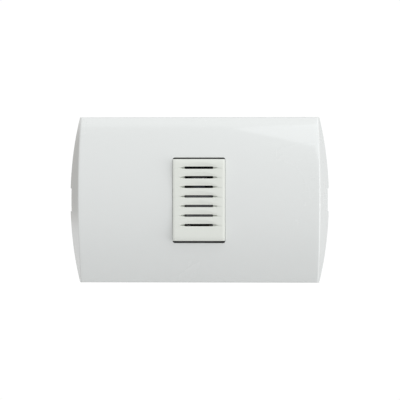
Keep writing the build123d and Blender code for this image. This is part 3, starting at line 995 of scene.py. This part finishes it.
@dataclass(frozen=True)
class BlindRecess:
    """Narrow blind recess that runs on beyond each end of a slot and tapers to its own end.

    Lip is half the width of its edge. Its rows begin at onset and run on to overrun, both in shares
    of its length.
    """

    end: float = 8.2
    height: float = 0.8
    depth: float = 1.38
    taper: float = 0.75
    lip: float = 0.03
    onset: float = 0.02
    overrun: float = 1.3

    def cut(self, start: float, across: Array, z: Array, d: Array) -> None:
        """Cuts the two recesses of one slot.

        Their half height is h (1 - taper t^2), where t goes from 0 at the slot's end to 1 at their
        own. The second row from each edge of the band lies just outside them and the third just
        inside, also in the first columns past their end, where the rows stay on the face.

        Args:
            start: Where they begin, from the slot's middle.
            across: Position of each column at the slot's middle line.
            z: Heights of the slot's rows, changed in place.
            d: Depths of the slot's rows, changed in place.
        """
        share = (np.abs(across) - start) / (self.end - start)
        near, inside = ((share > self.onset) & (share < end) for end in (self.overrun, 1.0))
        half = self.height / 2 * (1 - self.taper * np.minimum(share[near], 1) ** 2)
        middle = (z[0] + z[-1])[near] / 2
        for number, place in enumerate((half + self.lip, half - self.lip, half / 2, half * 0)):
            for row, sign in ((number + 1, 1), (len(z) - 2 - number, -1)):
                z[row, near] = middle + sign * place
                if number:
                    d[row, inside] = self.depth


@dataclass
class LouvredCap:
    """Front cap of the buzzer module: seven slots at the foot of slanted, dished grooves.

    Face is the front's thickness and wall that of the sides, and the inner face narrows over
    wall_blend to fit between them. The face's borders roll back over roll_across and roll_up. A
    slot's end pulls along the columns up to slot_spread away, and fan is the columns of a corner.
    """

    width: float = 23.5
    height: float = 36.86
    front: float = 13.0
    back: float = 6.4
    wall: float = 1.3
    wall_blend: float = 1.6
    face: float = 1.85
    edge_round: float = 0.45
    foot_bevel: float = 0.12
    foot_rise: float = 0.25
    crown: float = 0.55
    roll_across: float = 0.95
    roll_up: float = 2.0
    roll_share: float = 0.215
    slots: int = 7
    pitch: float = 4.3
    top_slot: float = 14.53
    slot_width: float = 13.0
    slot_height: float = 1.12
    slot_rows: int = 9
    slot_spread: float = 2.2
    groove_width: float = 21.6
    groove_depth: float = 0.9
    groove_rise: float = 3.1
    groove_rows: int = 7
    groove_gap: float = 0.05
    lip_round: float = 0.18
    recess: BlindRecess = BlindRecess()
    fan: int = 5
    middle_columns: int = 15
    end_columns: int = 20
    top_rows: int = 9
    land_rows: int = 5
    foot_rows: int = 16
    lip_rows: int = 7
    edge_rows: int = 7
    sharp_degrees: float = 34.0

    @property
    def turn(self) -> float:
        """Angle that the face has turned through where its roll meets the edge's rounding."""
        return math.atan(2 * self.roll_share)

    @property
    def inset(self) -> float:
        """Width of the edge's rounding seen from the front: r (1 - sin turn)."""
        return self.edge_round * (1 - math.sin(self.turn))

    @property
    def straight(self) -> float:
        """Half the length of a slot between its round ends."""
        return (self.slot_width - self.slot_height) / 2

    @cached_property
    def marks(self) -> Array:
        """Columns across the face, close together at the slots' ends.

        Returns:
            Their places along X, from left to right.
        """
        middle = np.linspace(0.0, self.straight, self.middle_columns)
        ends = np.linspace(self.straight, self.width / 2 - self.inset, self.end_columns)
        half = np.concatenate([middle, ends[1:]])
        return np.concatenate([-half[:0:-1], half])

    @cached_property
    def slot_turn(self) -> Array:
        """Angle of each of a slot's rows round its end, from the top to the foot."""
        return np.linspace(QUARTER, -QUARTER, self.slot_rows)

    def fall(self, x: Array, z: Array) -> Array:
        """How far the face lies behind its middle.

        It is a shallow arc over the height, crown (2 z / height)^2, and near each edge a roll of
        share * reach * t^2, where t goes from 0 to 1 over the roll's reach.

        Args:
            x: Positions across the face.
            z: Positions up the face.

        Returns:
            Depth behind the middle.
        """
        total = self.crown * (2 * z / self.height) ** 2
        rolls = ((x, self.width, self.roll_across), (z, self.height, self.roll_up))
        for place, size, reach in rolls:
            t = np.maximum(np.abs(place) - (size / 2 - self.inset - reach), 0.0) / reach
            total = total + self.roll_share * reach * t * t
        return total

    def flat_rows(self, levels: Array) -> tuple[Array, Array]:
        """Heights and depths of rows on the flat face."""
        z = np.repeat(levels[:, None], len(self.marks), axis=1)
        return z, np.zeros_like(z)

    def groove(self) -> tuple[Array, Array]:
        """Rows of one groove: down its dish, past the slot, and round the edge of its ledge.

        The dish is cut by a cone turned about an axis in front of it: its depth is
        sqrt((r - depth * share)^2 - x^2) - (r - depth), where share goes from 0 at the foot to 1 at
        the top. The ledge's rounding has rows at foot - s (1 - cos a) and a depth of s (1 - sin a),
        where s is the lip's radius or the dish's depth, whichever is less.

        Returns:
            Height above the groove's foot and depth below the face, one row for each.
        """
        depth = self.groove_depth
        radius = ((self.groove_width / 2) ** 2 + depth**2) / (2 * depth)
        over = np.linspace(self.groove_rise, self.slot_height, self.groove_rows + 1)[:-1]
        above = np.concatenate([over, self.slot_height / 2 * (1 + np.sin(self.slot_turn))])[:, None]
        cone = (radius - depth * above / self.groove_rise) ** 2 - self.marks**2
        dish = np.maximum(np.sqrt(cone) - (radius - depth), 0.0)
        angle = np.linspace(0.0, QUARTER, self.lip_rows)[:, None]
        small = np.minimum(self.lip_round, dish[-1])
        z = np.concatenate([np.broadcast_to(above, dish.shape), -small * (1 - np.cos(angle))])
        return z, np.concatenate([dish, small * (1 - np.sin(angle))])

    def rows(self) -> tuple[Array, Array, Array]:
        """Face rows from top to bottom.

        Returns:
            Height z of each row at each column, depth below the face, and each slot's first row.
        """
        edge = self.height / 2 - self.inset
        feet = self.top_slot - self.slot_height / 2 - self.pitch * np.arange(self.slots)
        tops = feet + self.groove_rise + self.groove_gap
        blocks = [self.flat_rows(np.linspace(edge, tops[0], self.top_rows))]
        groove_z, groove_d = self.groove()
        counts = [self.land_rows] * (self.slots - 1) + [self.foot_rows]
        for foot, end, count in zip(feet, [*tops[1:], -edge], counts):
            levels = np.linspace(foot - self.lip_round, end, count)[1:]
            blocks += [(foot + groove_z, groove_d), self.flat_rows(levels)]
        z, d = (np.concatenate(part) for part in zip(*blocks))
        first = np.cumsum([len(block[0]) for block in blocks])[:-1:2] + self.groove_rows
        return z, d, first

    def narrow(self, values: Array, size: float) -> Array:
        """Moves the outer part of the grid in, so that the inner face fits between the side walls.

        Args:
            values: Positions across or up the face.
            size: The cap's size in that direction.

        Returns:
            The positions on the inner face.
        """
        edge, goal = size / 2 - self.inset, size / 2 - self.wall
        start = edge - self.wall_blend
        far = np.abs(values) - start
        share = (goal - start) / (edge - start)
        return np.where(far > 0, np.sign(values) * (start + far * share), values)

    def sides(self, front: Array, back: Array) -> Array:
        """Rings from the face's outline round its edge, down the sides and up to the inner face.

        Args:
            front: Grid of face points.
            back: Grid of inner face points.

        Returns:
            Array of rings; the first and last coincide with the two grids' outlines.
        """
        number = np.arange(front[..., 0].size).reshape(front.shape[:2])
        fan = np.linspace(0.0, QUARTER, self.fan)
        turns, order = [], []
        borders = (number[:, -1][::-1], number[0][::-1], number[:, 0], number[-1])
        for side, line in enumerate(borders):
            order += [line[1:-1], np.repeat(line[-1], self.fan)]
            turns += [np.full(len(line) - 2, side * QUARTER), side * QUARTER + fan]
        index, angle = np.concatenate(order), np.concatenate(turns)
        out = np.stack([np.cos(angle), np.sin(angle)], axis=1)
        base, inner = (grid.reshape(-1, 3)[index] for grid in (front, back))
        face, height = base[:, ::2], -base[:, 1]
        r, turn = self.edge_round, self.turn
        rings = []
        for a in np.linspace(turn, QUARTER, self.edge_rows):
            edge = face + out * r * (math.sin(a) - math.sin(turn))
            rings.append(ring(edge, height - r * (math.cos(turn) - math.cos(a))))
        side = face + out * self.inset
        rings += [ring(side, self.front - self.face), ring(side, self.back + self.foot_rise)]
        rings += [ring(side - out * self.foot_bevel, self.back), ring(inner[:, ::2], self.back)]
        return np.stack([*rings, inner])

    def shell(self) -> Piece:
        """The cap as one closed surface with its slots cut through.

        The face is a grid of columns and rows. In a slot's rows the column at its end moves out by
        sqrt(r^2 - dz^2), which makes the end round, and its neighbours follow less and less. The
        cells inside a slot are left out of the face and of the inner face behind it, and walls join
        the two round each slot and round the cap's sides.

        Returns:
            The piece.
        """
        z, d, first = self.rows()
        rows, columns = z.shape
        x = np.tile(self.marks, (rows, 1))
        span = self.slot_rows
        far = np.abs(self.marks) - self.straight
        follow = np.clip(1 - far / self.slot_spread, 0, 1) * (far >= -1e-9) * np.sign(self.marks)
        for row in first:
            band = slice(row, row + span)
            x[band] += np.outer(self.slot_height / 2 * np.cos(self.slot_turn), follow)
            self.recess.cut(self.slot_width / 2, x[row + span // 2], z[band], d[band])
        front = np.stack([x, d + self.fall(x, z) - self.front, z], axis=2)
        inner = self.narrow(x, self.width), self.narrow(z, self.height)
        back = np.stack([inner[0], np.full_like(x, self.face - self.front), inner[1]], axis=2)
        ends = (-self.straight, self.straight)
        low, high = (int(np.argmin(np.abs(self.marks - end))) for end in ends)
        keep = np.ones((rows - 1, columns - 1), dtype=bool)
        number = np.arange(rows * columns).reshape(rows, columns)
        walls = []
        for row in first:
            keep[row : row + span - 1, low:high] = False
            block = number[row : row + span, low : high + 1]
            borders = block[0, :-1], block[:-1, -1], block[-1, :0:-1], block[:0:-1, 0]
            loop = np.concatenate(borders)
            after = np.roll(loop, -1)
            wall = [loop, loop + rows * columns, after + rows * columns, after]
            walls.append(np.stack(wall, axis=1))
        quads = grid_quads(rows, columns)[keep.reshape(-1)]
        sides = self.sides(front, back)
        outer = grid_quads(*sides.shape[:2], wrap_columns=True) + 2 * rows * columns
        faces = np.concatenate([quads, quads[:, ::-1] + rows * columns, *walls, outer])
        points = np.concatenate([grid.reshape(-1, 3) for grid in (front, back, sides)])
        return mesh_piece("louvred_cap", points, faces, self.sharp_degrees)

    def build(self, finishes: Finishes) -> None:
        """Makes the cap on the root body."""
        settle(self.shell(), "root", "module_satin", finishes, "buzzer_grille")


# Pieces carried over from CAD


@dataclass(frozen=True)
class SoftenedPart:
    """CAD node whose edges get a small rounding, as every moulded or pressed part has."""

    node: str
    body: str
    slot: str
    rounding: float
    segments: int = 2
    flat_degrees: float = 1.5

    def build(self, frame: dict, finishes: Finishes) -> None:
        """Copies the node, merges its triangles, rounds its edges and puts it on its body.

        Args:
            frame: The loaded frame.
            finishes: Materials by slot.
        """
        mesh = frame["nodes"][self.node].data.copy()
        mesh.name = f"{self.node}_soft"
        mesh.materials.clear()
        bm = bmesh.new()
        bm.from_mesh(mesh)
        bmesh.ops.remove_doubles(bm, verts=bm.verts, dist=MERGE)
        flat = math.radians(self.flat_degrees)
        bmesh.ops.dissolve_limit(bm, angle_limit=flat, verts=bm.verts, edges=bm.edges)
        bm.to_mesh(mesh)
        bm.free()
        shade_smooth(mesh, SHARP_DEGREES)
        piece = add_object(mesh.name, mesh)
        edge = piece.modifiers.new("edges", "BEVEL")
        edge.width = self.rounding * MM
        edge.segments = self.segments
        edge.limit_method = "ANGLE"
        edge.angle_limit = math.radians(SHARP_DEGREES)
        edge.harden_normals = True
        settle(piece, self.body, self.slot, finishes, self.node)


@dataclass
class HiddenWorks:
    """Everything behind the cap and the plate: frame, housing, magnet, armature and terminals."""

    parts: tuple[SoftenedPart, ...] = (
        SoftenedPart("mounting_frame", "root", "frame_plastic", 0.2),
        SoftenedPart("buzzer_housing", "root", "housing_plastic", 0.15),
        SoftenedPart("terminal_base", "root", "base_plastic", 0.15),
        SoftenedPart("base_screws", "root", "zinc_steel", 0.12),
        SoftenedPart("magnet_core", "root", "core_steel", 0.08),
        SoftenedPart("core_rivets", "root", "zinc_steel", 0.15),
        SoftenedPart("coil_bobbin", "root", "bobbin_nylon", 0.1),
        SoftenedPart("coil_winding", "root", "copper_wire", 0.3),
        SoftenedPart("winding_tape", "root", "coil_tape", 0.06),
        SoftenedPart("armature_plate", "armature", "armature_steel", 0.12),
        SoftenedPart("armature_rivets", "armature", "zinc_steel", 0.18),
        SoftenedPart("blade_clamp", "root", "spring_steel", 0.12),
        SoftenedPart("blade_screws", "root", "zinc_steel", 0.15),
        SoftenedPart("contact_plate_left", "root", "contact_brass", 0.1),
        SoftenedPart("contact_plate_right", "root", "contact_brass", 0.1),
        SoftenedPart("lead_wire_left", "root", "copper_wire", 0.05),
        SoftenedPart("lead_wire_right", "root", "copper_wire", 0.05),
        SoftenedPart("clamp_plate_left", "clamp_left", "zinc_steel", 0.15),
        SoftenedPart("clamp_plate_right", "clamp_right", "zinc_steel", 0.15),
        SoftenedPart("terminal_screw_left", "screw_left", "zinc_steel", 0.2),
        SoftenedPart("terminal_screw_right", "screw_right", "zinc_steel", 0.2),
    )

    def build(self, frame: dict, finishes: Finishes) -> None:
        """Makes every part."""
        for part in self.parts:
            part.build(frame, finishes)


@dataclass
class SpringBlade:
    """Flat spring between the core and the armature; nothing here makes it bend.

    The outline gives half widths and heights, from top to bottom.
    """

    seat: float = 8.4
    thick: float = 0.4
    edge_round: float = 0.06
    bend_span: Span = (8.0, 5.2)
    outline: tuple[Span, ...] = (
        (3.1, 10.0), (3.1, 6.6), (2.1, 5.6), (2.1, 4.4), (3.4, 3.2), (3.4, -9.2))
    steps: int = 60

    def build(self, finishes: Finishes) -> None:
        """Makes the blade as a closed strip: its half width is read off the outline at each height.

        Its section is given as the side, the distance in from the edge, and y.

        Args:
            finishes: Materials by slot.
        """
        half, path = np.array(self.outline).T
        z = np.unique(np.concatenate([np.linspace(path[0], path[-1], self.steps), path]))
        half = np.interp(z, path[::-1], half[::-1])
        near, far, soft = -(self.seat + self.thick), -self.seat, self.edge_round
        section = [(-1, soft, far), (-1, 0, far - soft), (-1, 0, near + soft), (-1, soft, near),
                   (1, soft, near), (1, 0, near + soft), (1, 0, far - soft), (1, soft, far)]
        lines = [(side * (half - inset), np.full_like(z, y), z) for side, inset, y in section]
        piece = closed_bars("bending_blade", [np.array(lines).transpose(2, 0, 1)])
        finishes.dress(piece, "spring_steel")
        y = -(self.seat + self.thick / 2) * MM
        start, end = ((0, y, height * MM) for height in self.bend_span)
        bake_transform(piece)
        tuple(start)
        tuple(end)
        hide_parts("spring_blade")
        count = len(piece.data.polygons)
        LOG.info("%s: %d faces, bends between root and armature", piece.name, count)


# Light, floor and camera


@dataclass(frozen=True)
class SoftLight:
    """Square studio light: where it stands, its side, its power and its colour."""

    name: str
    place: tuple[float, float, float]
    side: float
    power: float
    colour: Colour = (1.0, 1.0, 1.0)

    def build(self) -> None:
        """Adds the light, turned towards the object."""
        data = bpy.data.lights.new(self.name, "AREA")
        data.shape = "SQUARE"
        data.size = self.side
        data.energy = self.power
        data.color = self.colour
        lamp = add_object(self.name, data)
        lamp.location = self.place
        lamp.rotation_euler = (-Vector(self.place)).to_track_quat("-Z", "Y").to_euler()


@dataclass
class Studio:
    """Plain pale floor, white surround, soft lights and the camera at the photograph's angle."""

    floor_level: float = -0.26
    floor_reach: float = 1.2
    floor_corners: int = 96
    floor_tones: Span = (0.68, 0.72)
    floor_fade: Span = (0.3, 0.75)
    surround: float = 0.575
    surround_lean: tuple[float, float, float] = (0.165, -0.25, 0.0)
    surround_seen: float = 1.02
    backdrop: tuple[float, float, float] = (-0.72, 0.69, 0.0)
    backdrop_light: float = 0.52
    backdrop_edge: Span = (0.5, 0.9)
    corner: tuple[float, float, float] = (-0.72, 0.69, 0.055)
    corner_size: tuple[float, float, float] = (0.4, 0.4, 0.115)
    corner_depth: float = 0.6
    corner_edge: Span = (0.7, 1.25)
    corner_tint: Colour = (1.0, 0.9, 0.78)
    lights: tuple[SoftLight, ...] = (
        SoftLight("window", (0.57, -1.0, 1.1), 0.9, 4.0, (0.94, 0.985, 1.0)),
        SoftLight("side_right", (1.45, -0.35, -0.15), 1.2, 8.4),
        SoftLight("top_panel", (0.0, -0.3, 1.5), 1.2, 4.0),
    )
    view_turn: float = 1.227
    view_lift: float = 0.355
    view_distance: float = 0.487
    view_target: tuple[float, float, float] = (0.000417, -0.006, -0.000026)
    lens: float = 96.3

    def floor(self) -> None:
        """Adds the floor: one matt disc with a soft paper grain that fades into the surround."""
        angle = np.linspace(0.0, 2 * math.pi, self.floor_corners + 1)[:-1]
        x, y = self.floor_reach * np.cos(angle), self.floor_reach * np.sin(angle)
        rim = np.stack([x, y, np.full_like(x, self.floor_level)], axis=1)
        mesh = bpy.data.meshes.new("floor")
        mesh.from_pydata(rim.tolist(), [], [tuple(range(len(rim)))])
        paint = Painter("pale_floor")
        grain = paint.span(paint.noise(300.0, Detail=2.0), *self.floor_tones)
        distance = paint.vector("LENGTH", paint.position())
        paint.set(Roughness=0.95, Specular_IOR_Level=0.0, Base_Color=grain)
        paint.set(Alpha=paint.fade(distance, self.floor_fade, 1.0, 0.0))
        mesh.materials.append(paint.material)
        add_object("floor", mesh)

    def world(self) -> None:
        """Adds the surround, which is plain white to the eye and softer as a light.

        As a light its strength is a base plus the dot product of the direction and a lean, plus a
        pale backdrop behind the plate on the left. In a dark, warm corner of the backdrop, an
        ellipsoid round the corner's direction, that is multiplied by 1 - depth.
        """
        world = bpy.data.worlds.new("white_surround")
        bpy.context.scene.world = world
        world.use_nodes = True
        graph = Graph(world.node_tree)
        direction = graph.add("TexCoord", output="Generated")
        lean = graph.vector("DOT_PRODUCT", direction, self.surround_lean)
        facing = graph.vector("DOT_PRODUCT", direction, self.backdrop)
        sheet = graph.fade(facing, self.backdrop_edge, 0.0, self.backdrop_light)
        light = graph.math("ADD", graph.math("ADD", lean, self.surround), sheet)
        away = graph.vector("SUBTRACT", direction, self.corner)
        away = graph.vector("DIVIDE", away, self.corner_size)
        shade = graph.fade(graph.vector("LENGTH", away), self.corner_edge, self.corner_depth, 0.0)
        light = graph.math("MULTIPLY", light, graph.math("SUBTRACT", 1.0, shade))
        seen = graph.add("LightPath", output="Is Camera Ray")
        back = graph.tree.nodes["Background"].inputs
        graph.wire(back["Color"], graph.blend(shade, (1.0, 1.0, 1.0), self.corner_tint))
        graph.wire(back["Strength"], graph.add("Mix", seen, A=light, B=self.surround_seen))

    def camera(self) -> None:
        """Adds the camera, a little to the right of the plate's normal and a little above it."""
        turn, lift = math.radians(self.view_turn), math.radians(self.view_lift)
        level = math.cos(lift)
        away = Vector((math.sin(turn) * level, -math.cos(turn) * level, math.sin(lift)))
        data = bpy.data.cameras.new("camera")
        data.lens = self.lens
        data.sensor_width = 36.0
        data.clip_start = 0.01
        camera = add_object("camera", data)
        camera.location = Vector(self.view_target) + away * self.view_distance
        camera.rotation_euler = (-away).to_track_quat("-Z", "Y").to_euler()
        bpy.context.scene.camera = camera

    def build(self) -> None:
        """Sets the stage."""
        self.floor()
        self.world()
        for light in self.lights:
            light.build()
        self.camera()
        view = bpy.context.scene.view_settings
        view.view_transform = "Standard"
        view.look = "None"
        view.exposure = 0.0
        view.gamma = 1.0


def main() -> None:
    """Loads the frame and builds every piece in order."""
    logging.basicConfig(level=logging.INFO, format="%(name)s: %(message)s")
    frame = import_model()
    finishes = Finishes()
    WallPlate().build(finishes)
    LouvredCap().build(finishes)
    HiddenWorks().build(frame, finishes)
    SpringBlade().build(finishes)
    Studio().build()


if __name__ == "__main__":
    main()
